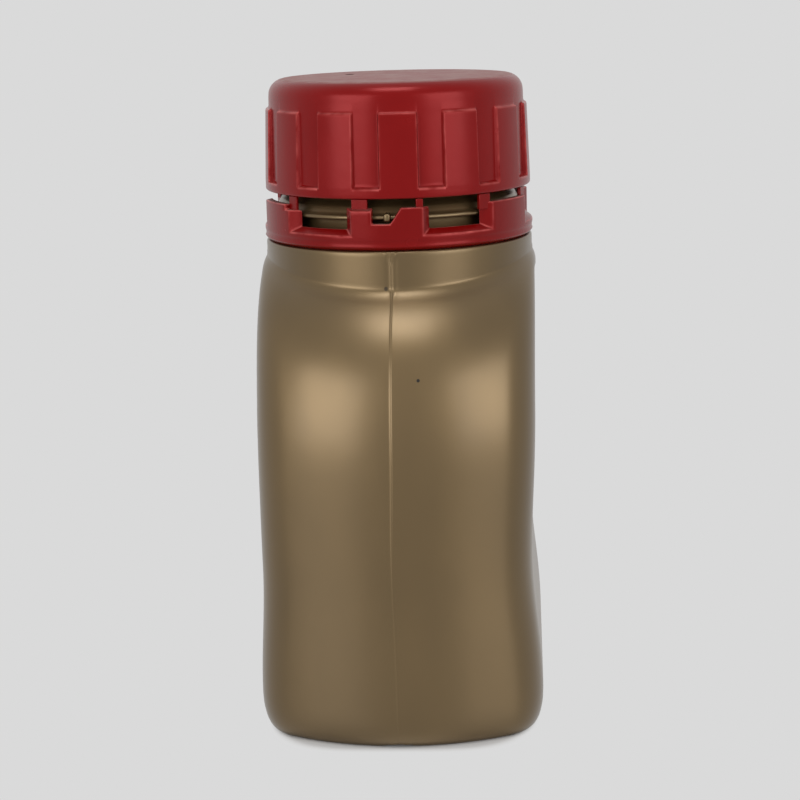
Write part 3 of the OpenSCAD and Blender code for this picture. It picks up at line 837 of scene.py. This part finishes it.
def make_floor():
    """Pale floor that keeps the bottle's shadow, is painted darker next to the foot as a contact shadow, and
    runs into the background.
    """
    half = 12.0
    mesh = bpy.data.meshes.new("floor")
    corners = [(-half, -half, 0), (half, -half, 0), (half, half, 0), (-half, half, 0)]
    mesh.from_pydata(corners, [], [(0, 1, 2, 3)])
    floor = bpy.data.objects.new("floor", mesh)
    bpy.context.scene.collection.objects.link(floor)
    mat = bpy.data.materials.new("floor")
    mat.use_nodes = True
    nodes, links = mat.node_tree.nodes, mat.node_tree.links
    nodes.clear()
    out = node(nodes, "ShaderNodeOutputMaterial")
    lit = node(nodes, "ShaderNodeBsdfDiffuse")
    glow = node(nodes, "ShaderNodeEmission")
    glow.inputs["Color"].default_value = (PALE,) * 3 + (1,)
    position = node(nodes, "ShaderNodeNewGeometry").outputs["Position"]
    share_of_foot = node(nodes, "ShaderNodeVectorMath", operation="MULTIPLY")
    contact = (FOOT_HALF_T - FOOT_INSET, FOOT_HALF_W - FOOT_INSET)
    share_of_foot.inputs[1].default_value = [1 / (MM * half) for half in contact] + [0]
    links.new(position, share_of_foot.inputs[0])
    squares = node(nodes, "ShaderNodeVectorMath", operation="MULTIPLY")
    links.new(share_of_foot.outputs["Vector"], squares.inputs[0])
    links.new(share_of_foot.outputs["Vector"], squares.inputs[1])
    length = node(nodes, "ShaderNodeVectorMath", operation="LENGTH")
    links.new(squares.outputs["Vector"], length.inputs[0])
    away = node(nodes, "ShaderNodeMath", operation="SQRT")
    links.new(length.outputs["Value"], away.inputs[0])
    far = node(nodes, "ShaderNodeMapRange", interpolation_type="SMOOTHSTEP")
    far.inputs["From Min"].default_value, far.inputs["From Max"].default_value = SHADOW_REACH
    links.new(away.outputs["Value"], far.inputs["Value"])
    # Painted shadow: the floor's colour darkens towards the foot.
    links.new(span(nodes, links, far.outputs["Result"], FLOOR_PAINTED_SHADE, FLOOR_DIFFUSE), lit.inputs["Color"])
    path = node(nodes, "ShaderNodeLightPath")
    seen = node(nodes, "ShaderNodeMath", operation="MAXIMUM")
    links.new(path.outputs["Is Camera Ray"], seen.inputs[0])
    links.new(path.outputs["Is Glossy Ray"], seen.inputs[1])
    both = node(nodes, "ShaderNodeMath", operation="MULTIPLY")
    links.new(seen.outputs["Value"], both.inputs[0])
    links.new(far.outputs["Result"], both.inputs[1])
    mix = node(nodes, "ShaderNodeMixShader")
    links.new(both.outputs["Value"], mix.inputs["Fac"])
    links.new(lit.outputs["BSDF"], mix.inputs[1])
    links.new(glow.outputs["Emission"], mix.inputs[2])
    sheen = node(nodes, "ShaderNodeBsdfAnisotropic")
    sheen.inputs["Roughness"].default_value = FLOOR_ROUGHNESS
    share = node(nodes, "ShaderNodeMath", operation="MULTIPLY")
    share.inputs[1].default_value = FLOOR_GLOSS
    links.new(path.outputs["Is Glossy Ray"], share.inputs[0])
    glossy = node(nodes, "ShaderNodeMixShader")
    links.new(share.outputs["Value"], glossy.inputs["Fac"])
    links.new(mix.outputs["Shader"], glossy.inputs[1])
    links.new(sheen.outputs["BSDF"], glossy.inputs[2])
    links.new(glossy.outputs["Shader"], out.inputs["Surface"])
    paint(floor, mat)


AMBIENT = 0.55


def make_world():
    world = bpy.data.worlds.new("studio")
    bpy.context.scene.world = world
    world.use_nodes = True
    nodes, links = world.node_tree.nodes, world.node_tree.links
    nodes.clear()
    out = node(nodes, "ShaderNodeOutputWorld")
    light = node(nodes, "ShaderNodeBackground")
    light.inputs["Color"].default_value = (1, 1, 1, 1)
    light.inputs["Strength"].default_value = AMBIENT
    shown = node(nodes, "ShaderNodeBackground")
    shown.inputs["Color"].default_value = (PALE,) * 3 + (1,)
    path = node(nodes, "ShaderNodeLightPath")
    seen = node(nodes, "ShaderNodeMath", operation="MAXIMUM")
    links.new(path.outputs["Is Camera Ray"], seen.inputs[0])
    links.new(path.outputs["Is Glossy Ray"], seen.inputs[1])
    both = node(nodes, "ShaderNodeMath", operation="MAXIMUM")
    links.new(seen.outputs["Value"], both.inputs[0])
    links.new(path.outputs["Is Transmission Ray"], both.inputs[1])
    mix = node(nodes, "ShaderNodeMixShader")
    links.new(both.outputs["Value"], mix.inputs["Fac"])
    links.new(light.outputs["Background"], mix.inputs[1])
    links.new(shown.outputs["Background"], mix.inputs[2])
    links.new(mix.outputs["Shader"], out.inputs["Surface"])


# Distance, width and height of the lamps in metres, and their power in watts
SIDE_BOX, TOP_BOX = (0.75, 0.45, 0.42), (0.9, 0.36, 0.36)
LEFT_POWER, RIGHT_POWER, TOP_POWER = 1.85, 1.7, 2


def softbox(name, azimuth, elevation, distance, width, height, power):
    """Area lamp that faces the middle of the bottle."""
    lamp = bpy.data.lights.new(name, "AREA")
    lamp.shape = "RECTANGLE"
    lamp.size, lamp.size_y = width, height
    lamp.energy = power
    obj = bpy.data.objects.new(name, lamp)
    bpy.context.scene.collection.objects.link(obj)
    a, e = math.radians(azimuth), math.radians(elevation)
    away = Vector((math.sin(a) * math.cos(e), -math.cos(a) * math.cos(e), math.sin(e)))
    obj.location = Vector((0, 0, 0.05)) + away * distance
    obj.rotation_mode = "QUATERNION"
    obj.rotation_quaternion = away.to_track_quat("Z", "Y")
    obj.visible_camera = False


CAMERA_DISTANCE, CAMERA_HEIGHT = 316.4, 114.9
CAMERA_AZIMUTH, CAMERA_PITCH, CAMERA_YAW, CAMERA_ROLL = 3.6, 12.14, -0.11, 1.56
LENS, SENSOR = 89.77, 36


def make_camera():
    data = bpy.data.cameras.new("camera")
    data.lens, data.sensor_width = LENS, SENSOR
    cam = bpy.data.objects.new("camera", data)
    bpy.context.scene.collection.objects.link(cam)
    a = math.radians(CAMERA_AZIMUTH)
    place = Vector((CAMERA_DISTANCE * math.sin(a), -CAMERA_DISTANCE * math.cos(a), CAMERA_HEIGHT)) * MM
    heading = Matrix.Rotation(a - math.radians(CAMERA_YAW), 4, "Z")
    tilt = Matrix.Rotation(math.radians(90 - CAMERA_PITCH), 4, "X")
    roll = Matrix.Rotation(math.radians(-CAMERA_ROLL), 4, "Z")
    cam.matrix_world = Matrix.Translation(place) @ heading @ tilt @ roll
    bpy.context.scene.camera = cam


bpy.context.scene.view_settings.view_transform = "Standard"
make_camera()
make_world()
make_floor()
softbox("left_box", -37, 15, *SIDE_BOX, LEFT_POWER)
softbox("right_box", 47, 15, *SIDE_BOX, RIGHT_POWER)
softbox("top_box", 0, 70, *TOP_BOX, TOP_POWER)

bottle = make_bottle()
paint(bottle, bottle_plastic())
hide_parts("bottle")
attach(bottle, "bottle")

cap = make_cap()
paint(cap, red_plastic("cap_plastic", CAP_RED))
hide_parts("screw_cap")
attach(cap, "cap")

band = make_band()
paint(band, red_plastic("band_plastic", BAND_RED))
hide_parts("tamper_band")
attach(band, "bottle")

paint_liner = liner_foam()
liner_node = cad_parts["liner"]
for i in range(max(len(liner_node.material_slots), 1)):
    if len(liner_node.material_slots) == 0:
        liner_node.data.materials.append(paint_liner)
    else:
        liner_node.material_slots[i].material = paint_liner
